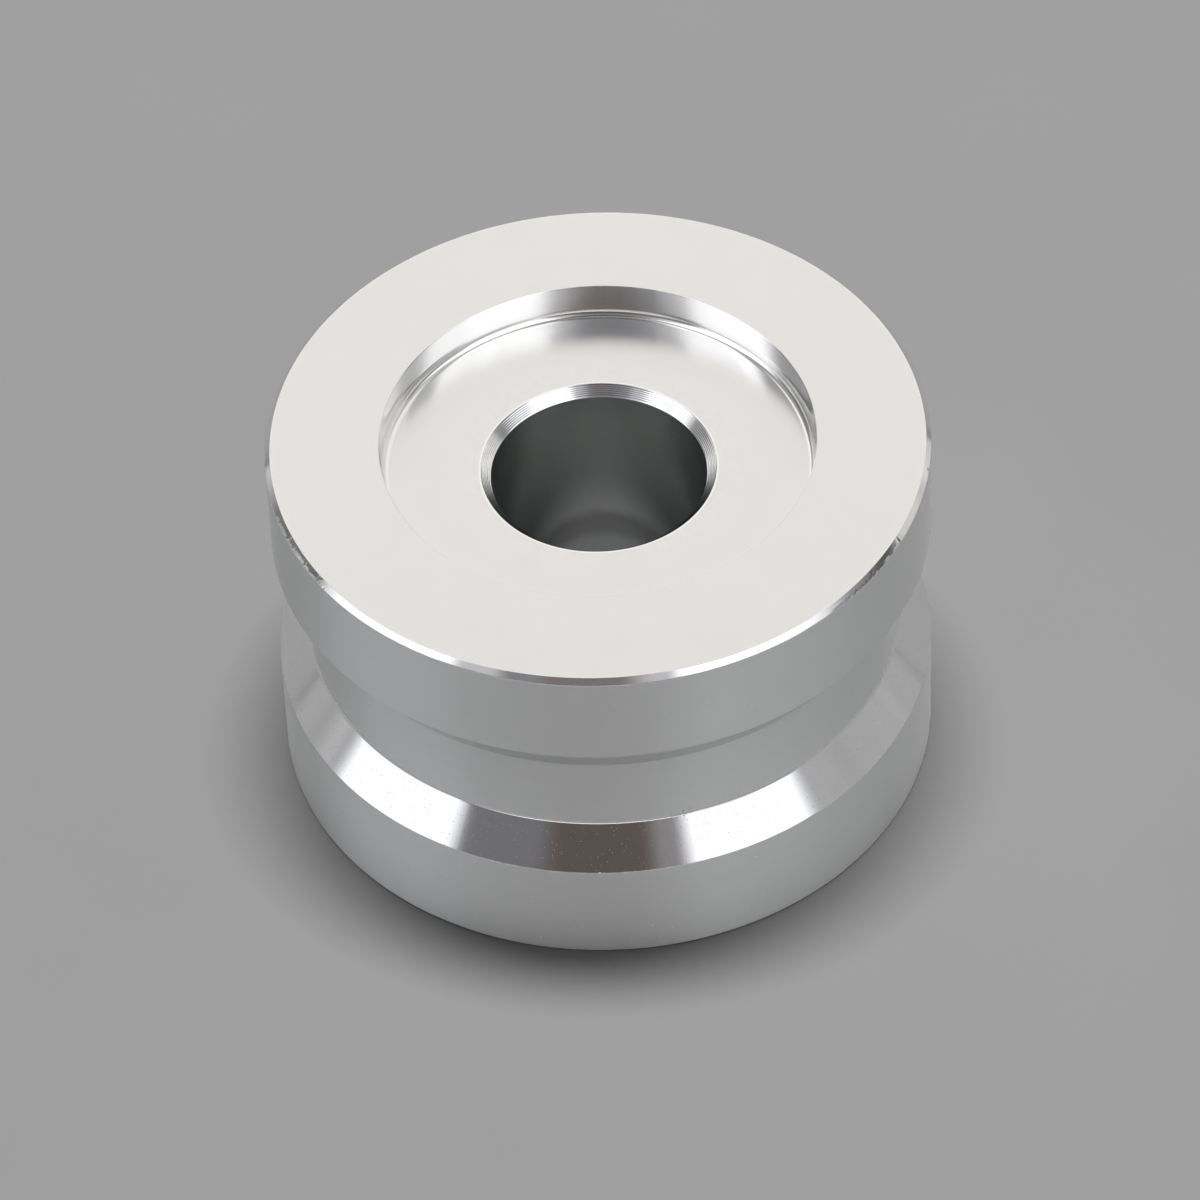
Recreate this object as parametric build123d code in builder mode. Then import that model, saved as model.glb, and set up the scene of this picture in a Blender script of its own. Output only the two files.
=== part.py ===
from build123d import *
import os

# Grooved collar, turned from one bar of aluminium.
# Two equal flanges stand either side of a shallow outer groove. The top face carries a
# shallow round recess, and a plain bore runs through the middle.
# The collar stands on its flat base: Z = 0 is the base, +Z is the turning axis.
# All lengths are in millimetres.

# --- overall -------------------------------------------------------------------------
rim_diameter = 50.0          # both flanges
height = 29.7                # base to top face

# --- outer groove, heights measured from the base -------------------------------------
lower_land_top = 8.8         # top edge of the lower flange's cylindrical land
neck_bottom = 11.75          # foot of the straight neck, where the lower flank meets it
neck_top = 18.15             # head of the straight neck, where the upper flank meets it
upper_land_bottom = 21.65    # bottom edge of the upper flange's cylindrical land
neck_diameter = 45.2
groove_corner_radius = 0.4   # left by the nose of the grooving tool

# --- recess in the top face -----------------------------------------------------------
recess_diameter = 32.8
recess_depth = 3.0
recess_corner_radius = 0.4   # left by the nose of the boring tool

# --- through bore ---------------------------------------------------------------------
bore_diameter = 16.3
bore_chamfer_top = 0.75      # lead-in on the recess floor
bore_chamfer_base = 0.5      # lead-out at the base

# --- edge breaks ----------------------------------------------------------------------
rim_chamfer = 0.4            # around the top face
land_edge_radius = 0.1       # where each land meets its groove flank
recess_edge_break = 0.1      # around the mouth of the recess
base_edge_break = 0.1        # around the base

rim_radius = rim_diameter / 2
neck_radius = neck_diameter / 2
recess_radius = recess_diameter / 2
bore_radius = bore_diameter / 2
recess_floor = height - recess_depth


def ring_edges(part, radius, z):
    """The circular edges of one radius that lie at one height on the turning axis."""
    return (
        part.edges()
        .filter_by(GeomType.CIRCLE)
        .filter_by(lambda edge: abs(edge.radius - radius) < 0.01)
        .filter_by(lambda edge: abs(edge.center(CenterOf.BOUNDING_BOX).Z - z) < 0.01)
    )


with BuildPart() as grooved_collar:
    # Half section, from the bore outwards, turned about the axis.
    with BuildSketch(Plane.XZ) as section:
        with BuildLine() as outline:
            Polyline(
                (bore_radius, 0),
                (rim_radius, 0),
                (rim_radius, lower_land_top),
                (neck_radius, neck_bottom),
                (neck_radius, neck_top),
                (rim_radius, upper_land_bottom),
                (rim_radius, height),
                (recess_radius, height),
                (recess_radius, recess_floor),
                (bore_radius, recess_floor),
                close=True,
            )
        make_face()
    revolve(axis=Axis.Z)

    # Groove corners keep the round of the tool nose at both ends of the neck.
    fillet(ring_edges(grooved_collar, neck_radius, neck_bottom), groove_corner_radius)
    fillet(ring_edges(grooved_collar, neck_radius, neck_top), groove_corner_radius)

    # The lands end in lightly broken edges.
    fillet(ring_edges(grooved_collar, rim_radius, lower_land_top), land_edge_radius)
    fillet(ring_edges(grooved_collar, rim_radius, upper_land_bottom), land_edge_radius)

    # The recess floor meets its wall in the round of the boring tool.
    fillet(ring_edges(grooved_collar, recess_radius, recess_floor), recess_corner_radius)
    chamfer(ring_edges(grooved_collar, recess_radius, height), recess_edge_break)

    # Bore lead-in and lead-out.
    chamfer(ring_edges(grooved_collar, bore_radius, recess_floor), bore_chamfer_top)
    chamfer(ring_edges(grooved_collar, bore_radius, 0), bore_chamfer_base)

    # Rim of the top face, and the edge of the base.
    chamfer(ring_edges(grooved_collar, rim_radius, height), rim_chamfer)
    chamfer(ring_edges(grooved_collar, rim_radius, 0), base_edge_break)

grooved_collar.part.label = "grooved_collar"

os.makedirs("parts", exist_ok=True)
export_step(grooved_collar.part, "parts/grooved_collar.step")

box = grooved_collar.part.bounding_box()
print("size", box.size, "volume_mm3", round(grooved_collar.part.volume, 1))
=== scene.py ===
import math

import bpy
import numpy as np
from mathutils import Matrix, Vector


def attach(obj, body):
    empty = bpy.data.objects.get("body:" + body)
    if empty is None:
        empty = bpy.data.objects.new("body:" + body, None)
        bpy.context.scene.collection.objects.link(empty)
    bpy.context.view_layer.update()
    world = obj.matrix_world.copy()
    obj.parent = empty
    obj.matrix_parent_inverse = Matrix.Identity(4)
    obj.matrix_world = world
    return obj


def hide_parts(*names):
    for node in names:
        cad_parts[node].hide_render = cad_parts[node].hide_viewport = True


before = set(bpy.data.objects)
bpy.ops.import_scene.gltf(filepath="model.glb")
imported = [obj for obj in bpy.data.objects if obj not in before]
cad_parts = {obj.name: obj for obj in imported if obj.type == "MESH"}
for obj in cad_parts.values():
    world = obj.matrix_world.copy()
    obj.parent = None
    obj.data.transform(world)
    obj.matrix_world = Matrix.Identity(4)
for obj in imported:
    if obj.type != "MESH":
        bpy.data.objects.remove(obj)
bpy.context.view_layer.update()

MM = 0.001

# ------------------------------------------------------------------------------------
# Sizes, in millimetres, the same as in the CAD part. z is measured from the flat base.
# ------------------------------------------------------------------------------------
RIM_R = 25.0
HEIGHT = 29.7
LOWER_LAND = 8.8
NECK_LOW = 11.75
NECK_HIGH = 18.15
UPPER_LAND = 21.65
NECK_R = 22.6
RECESS_R = 16.4
FLOOR_Z = 26.7
BORE_R = 8.15
BORE_CH = 0.75
BORE_CH_BASE = 0.5
RIM_CH = 0.4

# ------------------------------------------------------------------------------------
# Profile: rings from the bore's lower edge, out along the base, up the outside, over
# the top face, down into the recess and back down the bore.
# ------------------------------------------------------------------------------------
rings = []          # (r, z, finish of the strip that ends at this ring)
ridges = []         # (r, z) of the ridges between the feed marks of the bore's lead-in
sharp = []          # (r, z) of the convex edges, where the finish wears first


def ring(r, z, finish):
    if rings and math.hypot(rings[-1][0] - r, rings[-1][1] - z) < 1e-4:
        return
    rings.append((r, z, finish))


def line(p, q, ts, finish):
    """Rings at the given shares of the way from p to q."""
    for t in ts:
        ring(p[0] + (q[0] - p[0]) * t, p[1] + (q[1] - p[1]) * t, finish)


def corner(prev, at, nxt, radius, steps, finish, wears=False):
    """A tangent round at a corner, with one holding ring just outside each end."""
    a = np.array(prev, float) - np.array(at, float)
    b = np.array(nxt, float) - np.array(at, float)
    a /= np.linalg.norm(a)
    b /= np.linalg.norm(b)
    half = math.acos(max(-1.0, min(1.0, float(a @ b)))) / 2
    reach = radius / math.tan(half)
    centre = np.array(at) + (a + b) / np.linalg.norm(a + b) * radius / math.sin(half)
    p0 = np.array(at) + a * reach
    p1 = np.array(at) + b * reach
    v0, v1 = p0 - centre, p1 - centre
    sweep = math.acos(max(-1.0, min(1.0, float(v0 @ v1) / radius**2)))
    hold = min(0.06, 0.3 * radius + 0.01)
    h0 = p0 + a * hold
    ring(h0[0], h0[1], None)
    for k in range(steps + 1):
        t = k / steps
        w0 = math.sin((1 - t) * sweep) / math.sin(sweep)
        w1 = math.sin(t * sweep) / math.sin(sweep)
        c = centre + v0 * w0 + v1 * w1
        ring(c[0], c[1], finish if k else None)
    h1 = p1 + b * hold
    ring(h1[0], h1[1], None)
    if wears:
        sharp.append(at)


def build_profile():
    base_a = (BORE_R + BORE_CH_BASE, 0.0)
    # base
    ring(base_a[0], base_a[1], "bore_chamfer")
    ring(base_a[0] + 0.05, 0, "base")
    ring(24.84, 0, "base")
    corner((20, 0), (24.9, 0), (25.0, 0.1), 0.04, 2, "base")
    corner((24.9, 0), (25.0, 0.1), (25, 5), 0.05, 2, "base", wears=True)
    # lower land
    line((25, 0.4), (25, LOWER_LAND - 0.5), (0, 1), "land")
    corner((25, 5), (25, LOWER_LAND), (NECK_R, NECK_LOW), 0.1, 4, "land", wears=True)
    # lower flank
    a, b = (25, LOWER_LAND), (NECK_R, NECK_LOW)
    line(a, b, (0.06, 0.1, 0.3, 0.85), "flank")
    corner(a, b, (NECK_R, 15), 0.4, 5, "flank")
    # neck
    line((NECK_R, 12.35), (NECK_R, 17.5), (0.0, 0.06, 0.94, 1.0), "land")
    corner((NECK_R, 15), (NECK_R, NECK_HIGH), (25, UPPER_LAND), 0.4, 5, "land")
    # upper flank: the flange's underside, whose finish carries painted shade
    a, b = (NECK_R, NECK_HIGH), (25, UPPER_LAND)
    line(a, b, (0.2, 0.9), "under")
    corner(a, b, (25, 25), 0.1, 3, "land", wears=True)
    # upper land
    line((25, UPPER_LAND + 0.4), (25, 28.9), (0.0, 1.0), "land")
    line((25, 29.0), (25, HEIGHT - RIM_CH - 0.06), (0.0, 0.5, 0.8), "land")
    # rim chamfer
    a, b = (25.0, HEIGHT - RIM_CH), (25.0 - RIM_CH, HEIGHT)
    corner((25, 25), a, b, 0.05, 3, "rim", wears=True)
    line(a, b, (0.3, 0.5, 0.7), "rim")
    corner(a, b, (20, HEIGHT), 0.04, 3, "rim", wears=True)
    # top face
    line((25.0 - RIM_CH - 0.12, HEIGHT), (16.9, HEIGHT), (0.0, 0.02, 0.05, 1.0), "face")
    c, d = (RECESS_R + 0.05, HEIGHT), (RECESS_R, HEIGHT - 0.05)
    corner((20, HEIGHT), c, d, 0.02, 2, "face")
    corner(c, d, (RECESS_R, 28), 0.02, 2, "wall")
    # recess wall and the round at its foot
    line((RECESS_R, HEIGHT - 0.35), (RECESS_R, FLOOR_Z + 0.9), (0.0, 1.0), "wall")
    dish = [(r, FLOOR_Z + 0.0148 * (r - 13.3) ** 2) for r in (15.8, 15.0, 14.2, 13.3)]
    slope = math.atan(0.0148 * 2 * (15.8 - 13.3))
    foot = (RECESS_R, dish[0][1] + (RECESS_R - 15.8) * math.tan(slope))
    corner((RECESS_R, 28), foot, dish[0], 0.62, 9, "round")
    for r, z in dish[1:]:
        ring(r, z, "recess_floor")
    # recess floor
    e, f = (BORE_R + BORE_CH, FLOOR_Z), (BORE_R, FLOOR_Z - BORE_CH)
    line((12.6, FLOOR_Z), (e[0] + 0.15, FLOOR_Z), (0.0, 1.0), "recess_floor")
    corner((12, FLOOR_Z), e, f, 0.03, 2, "bore_chamfer", wears=True)
    # bore lead-in with the feed marks of the boring bar
    grooves = 6
    depth = 0.0085
    n = np.array((-1, 1)) / math.sqrt(2)
    lo, hi = 0.06, 0.95
    for g in range(grooves):
        for q in range(4):
            t = lo + (hi - lo) * (g + q / 4) / grooves
            x = 2 * (q / 4) - 1
            sink = depth * (1 - x * x)
            p = np.array(e) * (1 - t) + np.array(f) * t - n * sink
            if q == 0:
                ridges.append((p[0], p[1]))
            ring(p[0], p[1], "bore_chamfer")
    corner(e, f, (BORE_R, 20), 0.04, 2, "bore_chamfer", wears=True)
    # bore
    line((BORE_R, 25.6), (BORE_R, 0.8), (0.0, 0.5, 1.0), "bore")
    ring(BORE_R, BORE_CH_BASE + 0.04, "bore")
    ring(BORE_R, BORE_CH_BASE, "bore")
    ring(BORE_R + 0.04, BORE_CH_BASE - 0.04, "bore_chamfer")
    ring(base_a[0] - 0.04, 0.04, "bore_chamfer")


build_profile()
# a strip with no finish of its own takes that of the next ring that has one
fin = [r[2] for r in rings]
for i in range(len(fin) - 1, -1, -1):
    if fin[i] is None:
        fin[i] = fin[(i + 1) % len(fin)]
profile = np.array([(r, z) for r, z, _ in rings])


# ------------------------------------------------------------------------------------
# Angles round the part, in degrees: 0 faces the viewer (-Y), +90 is +X. Closer together
# where the rim carries nicks.
# ------------------------------------------------------------------------------------
def angles():
    dense = [
        (-76, -55, 0.20),
        (-39, -28, 0.35),
        (-4, 5.5, 0.25),
        (5.5, 15.8, 0.17),
        (44, 63, 0.25),
        (79, 81, 0.25),
        (175, 180, 0.40),
    ]
    out = []
    a = -180.0
    while a < 180.0 - 1e-6:
        out.append(a)
        step = 0.9
        for lo, hi, s in dense:
            if lo <= a < hi:
                step = s
        a += step
    return np.array(out)


deg = angles()
phi = np.radians(deg)
M, K = len(phi), len(profile)
R = np.repeat(profile[:, 0][:, None], M, 1)
Z = np.repeat(profile[:, 1][:, None], M, 1)
DEG = np.repeat(deg[None, :], K, 0)
R0, Z0 = R.copy(), Z.copy()
rng = np.random.default_rng(41)


def push(at_deg, half_arc, r0, z0, half, depth, way, lip=0.35):
    """A dent, or a bump where depth is negative, with a low lip thrown up round it.
    half_arc and half are in mm, way is the (r, z) direction of the dent."""
    arc = ((DEG - at_deg + 180) % 360 - 180) * math.pi / 180 * r0
    q = np.sqrt((arc / half_arc) ** 2 + ((R0 - r0) ** 2 + (Z0 - z0) ** 2) / half**2)
    amount = depth * (np.exp(-1.4 * q**2) - lip * np.exp(-6 * (q - 1.25) ** 2))
    amount[q > 2.4] = 0
    w = np.array(way, float) / np.linalg.norm(way)
    R[:] = R + w[0] * amount
    Z[:] = Z + w[1] * amount


def ragged(lo, hi, r0, z0, half, height, way, blur=1):
    """An uneven line of burr along one circle, between two angles."""
    soft = np.clip((deg - lo) / 1.2, 0, 1) * np.clip((hi - deg) / 1.2, 0, 1)
    noise = rng.random(M)
    for _ in range(blur):
        noise = 0.5 * noise + 0.25 * np.roll(noise, 1) + 0.25 * np.roll(noise, -1)
    noise = np.clip((noise - 0.35) / 0.4, 0, 1)
    near = np.exp(-((R0 - r0) ** 2 + (Z0 - z0) ** 2) / half**2)
    grow = height * near * (soft * noise)[None, :]
    jitter = 1 + 0.5 * (rng.random((K, M)) - 0.5)
    w = np.array(way, float) / np.linalg.norm(way)
    R[:] = R + w[0] * grow * jitter
    Z[:] = Z + w[1] * grow * jitter


LOW = (25.0, HEIGHT - RIM_CH)               # lower edge of the rim chamfer
TOP = (25.0 - RIM_CH, HEIGHT)               # upper edge of the rim chamfer
MID = (25.0 - RIM_CH / 2, HEIGHT - RIM_CH / 2)
IN = (-1, -1)

# handling nicks along the rim, seen at the left and right of the photograph
push(-72.9, 0.14, *LOW, 0.16, 0.030, (-1, -0.2))
push(-68.6, 0.10, *MID, 0.26, 0.022, IN)
push(-67.6, 0.08, *LOW, 0.12, 0.030, (-1, -0.4))
push(-66.2, 0.07, *MID, 0.16, 0.014, IN)
push(-64.1, 0.07, *TOP, 0.12, 0.024, (-0.4, -1))
push(-62.3, 0.10, *MID, 0.14, 0.012, IN)
push(-59.6, 0.22, *LOW, 0.10, 0.016, (-1, -0.4))
push(-57.4, 0.10, *TOP, 0.12, 0.014, (-0.4, -1))
push(-55.9, 0.10, *LOW, 0.12, 0.014, (-1, -0.4))
push(79.9, 0.13, *LOW, 0.20, 0.040, (-1, -0.5))
push(61.8, 0.10, *MID, 0.26, 0.026, IN)
push(60.9, 0.12, *LOW, 0.14, 0.020, (-1, -0.4))
push(57.6, 0.26, *LOW, 0.10, 0.010, (-1, -0.3))
push(52.9, 0.10, *MID, 0.22, 0.012, IN)
push(46.2, 0.14, *LOW, 0.12, 0.014, (-1, -0.4))
push(43.2, 0.30, *LOW, 0.10, 0.012, (-1, -0.4))
push(-2.3, 0.06, *MID, 0.26, 0.022, IN)
push(-21.4, 0.10, *LOW, 0.12, 0.012, (-1, -0.6))
for at_deg, size in ((-38.4, 0.018), (-35.9, 0.026), (-32.6, 0.030), (-29.4, 0.020)):
    push(at_deg, 0.24, *LOW, 0.14, -size, (0.2, -1), lip=0.0)
ragged(-75.5, -56.8, LOW[0], LOW[1], 0.10, 0.024, (-1, -0.3), blur=0)
ragged(-70.0, -56.8, TOP[0], TOP[1], 0.08, 0.016, (-0.3, -1), blur=0)
ragged(44.5, 62.5, LOW[0], LOW[1], 0.10, 0.018, (-1, -0.3), blur=0)
# burr at the back of the recess's edge
for at_deg, size in ((176.9, 0.050), (178.4, 0.040), (179.3, 0.022), (-178.6, 0.03), (-176.0, 0.03)):
    push(at_deg, 0.10, RECESS_R + 0.05, HEIGHT - 0.05, 0.15, -size, (-1, 0.2), lip=0.1)
for at_deg in (172.0, 168.5, 166.9, 163.0):
    push(at_deg, 0.09, RECESS_R, HEIGHT - 0.12, 0.12, -0.03, (-1, 0.2), lip=0.1)
# burr left in the groove's corners, and pits along the flank's lower edge
ragged(6.0, 15.4, NECK_R + 0.05, NECK_LOW + 0.16, 0.14, 0.055, (1, 0.5))
ragged(7.0, 12.4, NECK_R + 0.10, NECK_HIGH - 0.10, 0.14, 0.050, (1, -0.3))
ragged(-30, -24.5, NECK_R + 0.05, NECK_LOW + 0.16, 0.12, 0.020, (1, 0.5), blur=2)
for at_deg, size in ((-2.7, 0.05), (-1.9, 0.03), (1.6, 0.045), (3.4, 0.03), (45.6, 0.05), (-19.0, 0.03)):
    push(at_deg, 0.10, 25.0, LOWER_LAND, 0.14, size, (-1, -0.5), lip=0.6)

X = R * np.sin(phi)[None, :]
Y = -R * np.cos(phi)[None, :]
# nothing may stand proud of the flat faces
Z = np.clip(Z, 0.0, HEIGHT)
verts = np.stack([X, Y, Z], -1).reshape(-1, 3) * MM

FINISHES = ["face", "wall", "round", "recess_floor", "rim", "land", "under", "flank", "bore_chamfer", "bore", "base"]
faces, mats = [], []
for i in range(K):
    k = (i + 1) % K
    m = FINISHES.index(fin[k])
    for j in range(M):
        l = (j + 1) % M
        faces.append((i * M + j, i * M + l, k * M + l, k * M + j))
        mats.append(m)

mesh = bpy.data.meshes.new("collar_skin")
mesh.from_pydata(verts.tolist(), [], faces)
mesh.polygons.foreach_set("material_index", mats)
mesh.polygons.foreach_set("use_smooth", [True] * len(faces))
# distance along the profile in mm, nearness to a worn edge, and nearness to the lead-in's ridges where shade is
# painted, for the finishes
along = np.concatenate([[0], np.cumsum(np.hypot(*np.diff(profile, axis=0).T))])
edge = np.zeros(K)
for r, z in sharp:
    edge = np.maximum(edge, np.exp(-((profile[:, 0] - r) ** 2 + (profile[:, 1] - z) ** 2) / 0.16**2))
painted_ridge_shade = np.zeros(K)
for r, z in ridges:
    painted_ridge_shade = np.maximum(painted_ridge_shade, np.exp(-((profile[:, 0] - r) ** 2 + (profile[:, 1] - z) ** 2) / 0.03**2))
for name, values in (("along", along), ("edge", edge), ("painted_ridge_shade", painted_ridge_shade)):
    attr = mesh.attributes.new(name, "FLOAT", "POINT")
    attr.data.foreach_set("value", np.repeat(values, M).astype(np.float32))
mesh.update()
body = bpy.data.objects.new("collar_skin", mesh)
bpy.context.scene.collection.objects.link(body)


# ------------------------------------------------------------------------------------
# Finishes
# ------------------------------------------------------------------------------------
class Net:
    """A thin wrapper that keeps the node code short."""

    def __init__(self, tree):
        self.tree = tree

    def node(self, kind, inputs=None, **props):
        n = self.tree.nodes.new(kind)
        for key, value in props.items():
            setattr(n, key, value)
        for key, value in (inputs or {}).items():
            if isinstance(value, bpy.types.NodeSocket):
                self.tree.links.new(value, n.inputs[key])
            else:
                n.inputs[key].default_value = value
        return n

    def math(self, op, a, b=0.0, c=0.0):
        return self.node("ShaderNodeMath", {0: a, 1: b, 2: c}, operation=op).outputs[0]

    def span(self, value, lo, hi, to_lo=0.0, to_hi=1.0, kind="SMOOTHSTEP"):
        return self.node(
            "ShaderNodeMapRange",
            {"Value": value, "From Min": lo, "From Max": hi, "To Min": to_lo, "To Max": to_hi},
            interpolation_type=kind,
        ).outputs[0]

    def scaled(self, vector, by):
        return self.node("ShaderNodeVectorMath", {0: vector, 1: by}, operation="MULTIPLY").outputs[0]

    def noise(self, vector, scale, detail=2.0, rough=0.5):
        return self.node(
            "ShaderNodeTexNoise",
            {"Vector": vector, "Scale": scale, "Detail": detail, "Roughness": rough},
        ).outputs["Fac"]

    def blend(self, fac, a, b):
        n = self.node("ShaderNodeMix", data_type="RGBA")
        for key, value in ((0, fac), (6, a), (7, b)):
            if isinstance(value, bpy.types.NodeSocket):
                self.tree.links.new(value, n.inputs[key])
            else:
                n.inputs[key].default_value = value
        return n.outputs[2]


def finish(name, color, rough, tone=0.02, rough_var=0.03, grain=(0.16, 1.2), lines=None,
           streaks=None, dust=None, wear=0.5, brushed=None, glance=1.0, spread="MULTI_GGX",
           painted_shade_bands=(), painted_ridge_shade=0.0):
    """One machined finish.
    color, rough    the metal's colour and roughness
    tone            how far the colour drifts over a few millimetres
    grain           (size in mm, height in micrometres) of the blasted or cut grain
    lines           (pitch in mm, height in micrometres) of the turning marks
    streaks         (pitch in mm, height in micrometres) of marks that run across them
    dust            (largest radius in mm, cells to a mm, tilt, brightness, metal) of the sparse
                    pale specks, whose normal tilts up to catch the light
    wear            how far a convex edge is polished bare
    brushed         (share, roughness, stretch) of the light that the turning marks smear
                    along the axis
    glance          reflectance at a glancing angle, as a share of the head-on one
    painted_shade_bands (from, to, share kept) bands of height in mm, bowed across the part, darkened as painted shade
    for the dark arc reflected in the bore painted_ridge_shade how far the ridges between the boring bar's marks are
    darkened, a painted shade for the dark lines their slopes reflect
    """
    mat = bpy.data.materials.new(name)
    mat.use_nodes = True
    net = Net(mat.node_tree)
    shader = mat.node_tree.nodes["Principled BSDF"]
    shader.inputs["Metallic"].default_value = 1.0
    shader.inputs["Specular Tint"].default_value = (glance, glance, glance, 1)
    shader.distribution = spread
    place = net.node("ShaderNodeTexCoord").outputs["Object"]
    mm = net.scaled(place, (1000, 1000, 1000))
    far = net.node("ShaderNodeAttribute", attribute_name="along").outputs["Fac"]
    near_edge = net.node("ShaderNodeAttribute", attribute_name="edge").outputs["Fac"]
    xyz = net.node("ShaderNodeSeparateXYZ", {0: mm})
    wide = net.noise(mm, 0.22, 3.0, 0.55)
    fine = net.noise(mm, 1.0 / grain[0], 2.0, 0.6)
    patch = net.noise(mm, 1.1, 2.0, 0.5)

    dark = tuple(c * (1 - tone) for c in color) + (1,)
    light = tuple(min(0.99, c * (1 + tone)) for c in color) + (1,)
    base = net.blend(net.span(wide, 0.3, 0.7, kind="LINEAR"), dark, light)
    # painted shade: darkened bands of height, bowed across the part, stand in for the dark arc reflected in the bore
    for start, end, keep in painted_shade_bands:
        bow = net.math("MULTIPLY_ADD", net.math("MULTIPLY", xyz.outputs[0], xyz.outputs[0]), 0.066, xyz.outputs[2])
        edge_z = net.math("MULTIPLY_ADD", net.math("SUBTRACT", patch, 0.5), 0.8, bow)
        base = net.blend(net.span(edge_z, start, end), base, tuple(c * keep for c in color) + (1,))
    # painted shade: the lead-in's ridges are darkened to stand in for the dark lines that the grooves' slopes reflect
    if painted_ridge_shade:
        ridge = net.node("ShaderNodeAttribute", attribute_name="painted_ridge_shade").outputs["Fac"]
        strong = net.math("MULTIPLY", net.math("MULTIPLY", ridge, painted_ridge_shade), net.span(patch, 0.35, 0.65, 0.5, 1.0))
        base = net.blend(strong, base, (0.12, 0.12, 0.13, 1))
    # convex edges: the finish is rubbed through in places
    chip = net.math("MULTIPLY", near_edge, net.span(patch, 0.42, 0.62))
    worn = net.math("MULTIPLY", chip, wear)
    base = net.blend(worn, base, (0.93, 0.93, 0.925, 1))
    drift = net.span(net.noise(mm, 0.6, 3.0, 0.6), 0.25, 0.75, rough - rough_var, rough + rough_var, "LINEAR")
    roughness = net.math("MULTIPLY", drift, net.span(worn, 0.0, 1.0, 1.0, 0.55, "LINEAR"))

    height = net.math("MULTIPLY", fine, grain[1])
    if lines:
        v = net.node("ShaderNodeCombineXYZ", {
            0: net.math("MULTIPLY", xyz.outputs[0], 0.02),
            1: net.math("MULTIPLY", xyz.outputs[1], 0.02),
            2: net.math("DIVIDE", far, lines[0]),
        }).outputs[0]
        height = net.math("MULTIPLY_ADD", net.noise(v, 1.0, 1.0, 0.5), lines[1], height)
    if streaks:
        v = net.node("ShaderNodeCombineXYZ", {
            0: net.math("DIVIDE", xyz.outputs[0], streaks[0]),
            1: net.math("DIVIDE", xyz.outputs[1], streaks[0]),
            2: net.math("MULTIPLY", far, 0.35),
        }).outputs[0]
        height = net.math("MULTIPLY_ADD", net.noise(v, 1.0, 2.0, 0.6), streaks[1], height)
    if dust:
        cells = net.node("ShaderNodeTexVoronoi", {"Vector": mm, "Scale": dust[1]}, feature="F1")
        pick = net.node("ShaderNodeSeparateColor", {0: cells.outputs["Color"]}).outputs[0]
        size = net.math("MULTIPLY", net.math("MULTIPLY", pick, pick), dust[0] * dust[1])
        speck = net.math("LESS_THAN", cells.outputs["Distance"], size)
        base = net.blend(speck, base, (dust[3], dust[3], dust[3] * 0.99, 1))
        roughness = net.math("MAXIMUM", net.math("MULTIPLY", speck, 0.8), roughness)
        if not dust[4]:
            net.tree.links.new(net.math("SUBTRACT", 1.0, net.math("MULTIPLY", speck, 0.85)), shader.inputs["Metallic"])
    bump = net.node("ShaderNodeBump", {"Height": height, "Distance": 1e-6, "Strength": 1.0})
    net.tree.links.new(base, shader.inputs["Base Color"])
    net.tree.links.new(roughness, shader.inputs["Roughness"])
    facing = bump.outputs[0]
    if dust:
        lift = net.node("ShaderNodeCombineXYZ", {2: net.math("MULTIPLY", speck, dust[2])}).outputs[0]
        tilted = net.node("ShaderNodeVectorMath", {0: facing, 1: lift}, operation="ADD").outputs[0]
        facing = net.node("ShaderNodeVectorMath", {0: tilted}, operation="NORMALIZE").outputs[0]
    net.tree.links.new(facing, shader.inputs["Normal"])
    if brushed:
        around = net.node("ShaderNodeTangent", direction_type="RADIAL", axis="Z").outputs[0]
        smear = net.node("ShaderNodeBsdfPrincipled", {
            "Base Color": base, "Metallic": 1.0, "Roughness": brushed[1], "Anisotropic": brushed[2],
            "Anisotropic Rotation": 0.25, "Tangent": around, "Normal": facing,
            "Specular Tint": (glance, glance, glance, 1),
        })
        both = net.node("ShaderNodeMixShader", {0: brushed[0], 1: shader.outputs[0], 2: smear.outputs[0]})
        out = next(n for n in mat.node_tree.nodes if n.type == "OUTPUT_MATERIAL")
        net.tree.links.new(both.outputs[0], out.inputs["Surface"])
    return mat


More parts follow.
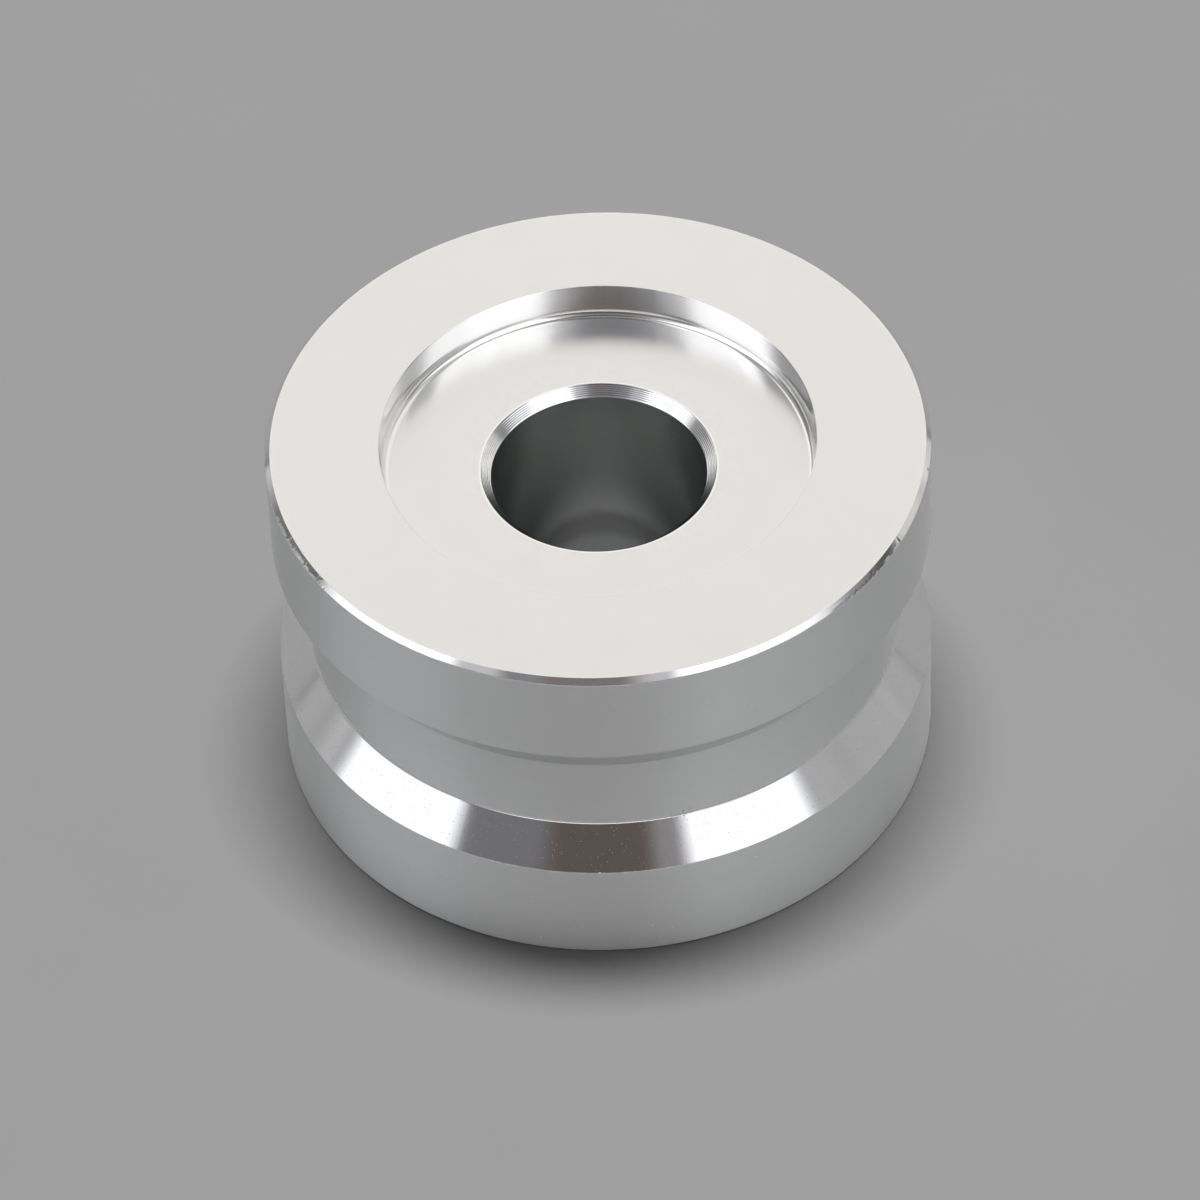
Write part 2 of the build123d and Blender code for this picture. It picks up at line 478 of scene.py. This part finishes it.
MAT = {
    "face": finish("face_satin", (0.920, 0.912, 0.900), 0.295, grain=(0.14, 1.0), tone=0.006, rough_var=0.004, dust=(0.030, 1.35, 0.0, 0.80, 0), lines=(0.5, 0.06)),
    "land": finish("land_satin", (0.925, 0.932, 0.928), 0.66, grain=(0.14, 1.2), tone=0.010, rough_var=0.01, dust=(0.090, 1.9, 0.8, 0.97, 1), lines=(0.4, 0.2), brushed=(0.26, 0.5, 1.0), glance=0.10, spread="GGX"),
    # the flange's underside: a darker copy of the land metal, painted shade on top of the shade its downward-facing
    # reflection gives
    "under": finish("under_flank_painted_shade", (0.610, 0.615, 0.612), 0.24, grain=(0.14, 0.8), tone=0.010, rough_var=0.01, lines=(0.4, 0.2)),
    "recess_floor": finish("recess_floor_satin", (0.885, 0.877, 0.866), 0.25, grain=(0.14, 1.0), tone=0.006, rough_var=0.004, dust=(0.025, 1.35, 0.0, 0.80, 0), lines=(0.5, 0.06)),
    "round": finish("recess_round", (0.910, 0.904, 0.893), 0.15, grain=(0.14, 0.8), tone=0.010, rough_var=0.01, lines=(0.12, 0.1)),
    "base": finish("base_satin", (0.880, 0.880, 0.875), 0.45, grain=(0.14, 1.2), tone=0.012, rough_var=0.01, dust=(0.040, 1.35, 0.0, 0.80, 0), lines=(0.4, 0.4)),
    "wall": finish("wall_bright", (0.910, 0.910, 0.905), 0.08, grain=(0.20, 0.3), tone=0.010, rough_var=0.012, lines=(0.18, 0.25), wear=0.3),
    "rim": finish("rim_bright", (0.915, 0.910, 0.905), 0.08, grain=(0.12, 0.4), tone=0.010, rough_var=0.012, lines=(0.16, 0.2), wear=0.3),
    "flank": finish("flank_bright", (0.910, 0.910, 0.912), 0.09, grain=(0.10, 0.5), tone=0.012, rough_var=0.012, streaks=(0.10, 0.4), dust=(0.042, 5.6, 0.3, 0.55, 1), wear=0.3),
    # the lead-in's ridges carry painted shade for the lines their slopes reflect
    "bore_chamfer": finish("bore_lead_in", (0.960, 0.960, 0.955), 0.14, grain=(0.12, 0.3), tone=0.010, rough_var=0.012, wear=0.3, painted_ridge_shade=0.5),
    # the bore's three darkened bands are painted shade for the dark arc it reflects
    "bore": finish("bore_bright", (0.770, 0.791, 0.772), 0.25, grain=(0.25, 0.5), tone=0.02, rough_var=0.01, lines=(0.20, 0.2), streaks=(0.6, 0.6), painted_shade_bands=((25.5, 16.0, 0.57), (14.4, 12.8, 0.32), (11.8, 10.4, 0.48))),
}
for name in FINISHES:
    mesh.materials.append(MAT[name])

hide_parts("grooved_collar")
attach(body, "root")


# ------------------------------------------------------------------------------------
# Floor
# ------------------------------------------------------------------------------------
def add_floor():
    bpy.ops.mesh.primitive_plane_add(size=6.0, location=(0, 0, 0))
    floor = bpy.context.object
    floor.name = "floor"
    mat = bpy.data.materials.new("grey_card")
    mat.use_nodes = True
    net = Net(mat.node_tree)
    shader = mat.node_tree.nodes["Principled BSDF"]
    mm = net.scaled(net.node("ShaderNodeTexCoord").outputs["Object"], (1000, 1000, 1000))
    cloud = net.noise(mm, 0.035, 2.0, 0.5)
    tooth = net.noise(mm, 5.0, 2.0, 0.6)
    c = FLOOR_ALBEDO
    base = net.blend(net.span(cloud, 0.3, 0.7, kind="LINEAR"),
                     (c * 0.985, c * 0.985, c * 0.995, 1), (c * 1.015, c * 1.015, c * 1.02, 1))
    net.tree.links.new(base, shader.inputs["Base Color"])
    shader.inputs["Roughness"].default_value = 0.9
    shader.inputs["Specular IOR Level"].default_value = 0.1
    bump = net.node("ShaderNodeBump", {"Height": tooth, "Distance": 6e-6, "Strength": 1.0})
    net.tree.links.new(bump.outputs[0], shader.inputs["Normal"])
    floor.data.materials.append(mat)
    return floor


FLOOR_ALBEDO = 0.22
add_floor()


# ------------------------------------------------------------------------------------
# Camera
# ------------------------------------------------------------------------------------
def add_camera():
    f_px, dist, elev = 7606.5, 578.526 * MM, math.radians(45.9007)
    yaw, pitch, roll = (math.radians(v) for v in (0.0323, -0.3772, 2.3986))
    target = Vector((0, 0, (HEIGHT - 12.0) * MM))
    at = target + dist * Vector((0, -math.cos(elev), math.sin(elev)))
    fw = (target - at).normalized()
    rt = Vector((1, 0, 0))
    up = rt.cross(fw)
    rot = Matrix.Rotation(yaw, 3, up)
    fw, rt = rot @ fw, rot @ rt
    rot = Matrix.Rotation(pitch, 3, rt)
    fw, up = rot @ fw, rot @ up
    rot = Matrix.Rotation(roll, 3, fw)
    rt, up = rot @ rt, rot @ up
    cam = bpy.data.cameras.new("camera")
    cam.sensor_fit = "HORIZONTAL"
    cam.sensor_width = 36.0
    cam.lens = f_px / 1200.0 * 36.0
    cam.clip_start = 0.02
    cam.clip_end = 50.0
    ob = bpy.data.objects.new("camera", cam)
    bpy.context.scene.collection.objects.link(ob)
    m = Matrix((
        (rt.x, up.x, -fw.x, at.x),
        (rt.y, up.y, -fw.y, at.y),
        (rt.z, up.z, -fw.z, at.z),
        (0, 0, 0, 1),
    ))
    ob.matrix_world = m
    bpy.context.scene.camera = ob
    return ob


add_camera()


# ------------------------------------------------------------------------------------
# Light: a tent of soft panels round the part, and two lamps overhead for the floor.
# Azimuth is in degrees from the viewer's side (-Y), positive towards +X.
# ------------------------------------------------------------------------------------
PANELS = [
    # name, azimuth, half width, softness, low, high, softness, colour (linear radiance)
    ("table edge", 0.0, 200.0, 1, -30, 7, 8, (0.395, 0.395, 0.400)),
    ("low front", 0.0, 38.0, 24, -30, 11, 8, (0.95, 0.95, 0.95)),
    ("left box", -71.8, 20.8, 7, 7, 71, 8, (1.18, 1.19, 1.23)),
    ("left box end", -96.8, 5.7, 8, 29, 71, 8, (1.18, 1.19, 1.23)),
    ("left box edge", -95.0, 2.5, 5, 15, 29, 6, (0.60, 0.60, 0.61)),
    ("left box skirt", -44.0, 8.0, 8, 34, 60, 8, (0.36, 0.36, 0.37)),
    ("left box glow", -76.0, 25.0, 8, 37, 71, 10, (0.16, 0.16, 0.16)),
    ("right box", 43.5, 19.7, 8, 18, 71, 8, (1.18, 1.19, 1.21)),
    ("right box end", 79.5, 17.0, 8, 29.8, 71, 7, (1.10, 1.11, 1.13)),
    ("right box skirt", 17.0, 9.0, 8, 36, 60, 8, (0.20, 0.20, 0.21)),
    ("right box glow", 61.0, 35.0, 8, 37, 71, 10, (0.18, 0.18, 0.18)),
    ("right gap", 52.0, 28.0, 6, 7, 22.5, 7, (0.395, 0.395, 0.400)),
    ("right gap side", 92.0, 12.0, 6, 7, 18, 7, (0.395, 0.395, 0.400)),
    ("right gap mid", 83.0, 20.0, 8, 22, 31, 8, (0.26, 0.26, 0.27)),
    ("right gap top", 112.0, 16.0, 8, 33, 57, 8, (0.50, 0.50, 0.51)),
    ("left gap", -101.0, 7.0, 6, 7, 15.0, 5, (0.395, 0.395, 0.400)),
    ("left gap foot", -112.0, 5.0, 5, 6.5, 9.5, 3, (0.20, 0.20, 0.20)),
    ("left gap low", -128.0, 29.0, 8, 9, 33, 8, (0.165, 0.165, 0.17)),
    ("left gap top", -128.0, 29.0, 8, 33, 57, 8, (0.33, 0.33, 0.34)),
    ("back right", 112.0, 8.5, 6, 7.5, 31, 8, (0.65, 0.64, 0.63)),
    ("back", 163.5, 43.0, 6, 6, 29, 8, (0.71, 0.70, 0.69)),
    ("back low", 163.5, 45.0, 8, -30, 6, 8, (0.22, 0.22, 0.22)),
    ("back left", -141.5, 12.5, 8, 6, 22, 8, (0.60, 0.60, 0.59)),
    ("back left low", -141.5, 14.0, 8, -30, 6, 8, (0.17, 0.17, 0.17)),
    ("back top", 169.5, 44.0, 15, 29, 56, 8, (0.92, 0.91, 0.89)),
    ("front", -4.0, 18.0, 10, 7, 44, 6, (0.108, 0.088, 0.082)),
    ("front high", -4.0, 18.0, 10, 44, 70, 6, (0.098, 0.097, 0.103)),
    ("front left", -36.5, 14.5, 10, 7, 66, 8, (0.165, 0.163, 0.172)),
    ("front right", 19.5, 6.5, 8, 7, 66, 8, (0.230, 0.222, 0.230)),
    ("front upper", -2.0, 40.0, 24, 40, 72, 8, (0.092, 0.094, 0.102)),
    ("high back", 171.0, 81.0, 40, 59, 66, 10, (0.71, 0.71, 0.70)),
    ("ceiling", 180.0, 125.0, 30, 69, 84, 8, (0.42, 0.41, 0.40)),
    ("ceiling middle", 0.0, 200.0, 1, 84, 100, 8, (0.42, 0.41, 0.40)),
]
# Lamps that light the floor only; half angles in degrees, light in units of pi W/m2
LAMPS = [
    # name, azimuth, elevation, half width, half height, light on the floor
    ("overhead_lamp", 172.0, 83.6, 12.0, 6.0, 1.36),
    ("fill_lamp", 95.0, 72.0, 50.0, 50.0, 0.20),
]
LAMP_DISTANCE = 2.0


def add_lights():
    world = bpy.data.worlds.new("studio")
    bpy.context.scene.world = world
    world.use_nodes = True
    net = Net(world.node_tree)
    sky = world.node_tree.nodes["Background"]
    way = net.node("ShaderNodeTexCoord").outputs["Generated"]
    xyz = net.node("ShaderNodeSeparateXYZ", {0: way}).outputs
    azimuth = net.math("MULTIPLY", net.math("ARCTAN2", xyz[0], net.math("MULTIPLY", xyz[1], -1.0)), 180 / math.pi)
    height = net.math("MULTIPLY", net.math("ARCSINE", xyz[2]), 180 / math.pi)
    total = None
    for _, at, half, soft, low, high, soft_h, colour in PANELS:
        away = net.math("PINGPONG", net.math("SUBTRACT", azimuth, at), 180.0)
        across = net.span(away, half - soft / 2, half + soft / 2, 1.0, 0.0)
        above = net.span(height, low - soft_h / 2, low + soft_h / 2, 0.0, 1.0)
        below = net.span(height, high - soft_h / 2, high + soft_h / 2, 1.0, 0.0)
        share = net.math("MULTIPLY", across, net.math("MULTIPLY", above, below))
        lit = net.node("ShaderNodeVectorMath", {0: colour, "Scale": share}, operation="SCALE").outputs[0]
        total = lit if total is None else net.node("ShaderNodeVectorMath", {0: total, 1: lit}, operation="ADD").outputs[0]
    # seen straight on, past the edge of the floor, the studio is a plain pale backdrop
    straight = net.node("ShaderNodeLightPath").outputs["Is Camera Ray"]
    net.tree.links.new(net.blend(straight, total, (0.42, 0.42, 0.425, 1)), sky.inputs["Color"])
    world.cycles.sampling_method = "MANUAL"
    world.cycles.sample_map_resolution = 1024
    world.cycles_visibility.diffuse = False     # the tent is for the metal, the lamps are for the floor

    for name, azimuth, elevation, half_width, half_height, light_on_floor in LAMPS:
        a, e = math.radians(azimuth), math.radians(elevation)
        way = Vector((math.sin(a) * math.cos(e), -math.cos(a) * math.cos(e), math.sin(e)))
        u, v = math.radians(half_width), math.radians(half_height)
        light = bpy.data.lights.new(name, "AREA")
        light.shape = "ELLIPSE"
        light.size = 2 * LAMP_DISTANCE * math.tan(u)
        light.size_y = 2 * LAMP_DISTANCE * math.tan(v)
        radiance = light_on_floor / (math.sin(u) * math.sin(v) * math.sin(e))
        light.energy = radiance * math.pi * (math.pi / 4 * light.size * light.size_y)
        ob = bpy.data.objects.new(name, light)
        ob.visible_glossy = False
        ob.visible_camera = False
        bpy.context.scene.collection.objects.link(ob)
        side = Vector((math.cos(a), math.sin(a), 0))
        top = way.cross(side)
        at = way * LAMP_DISTANCE
        ob.matrix_world = Matrix((
            (side.x, top.x, way.x, at.x),
            (side.y, top.y, way.y, at.y),
            (side.z, top.z, way.z, at.z),
            (0, 0, 0, 1),
        ))


add_lights()
bpy.context.scene.view_settings.view_transform = "Standard"
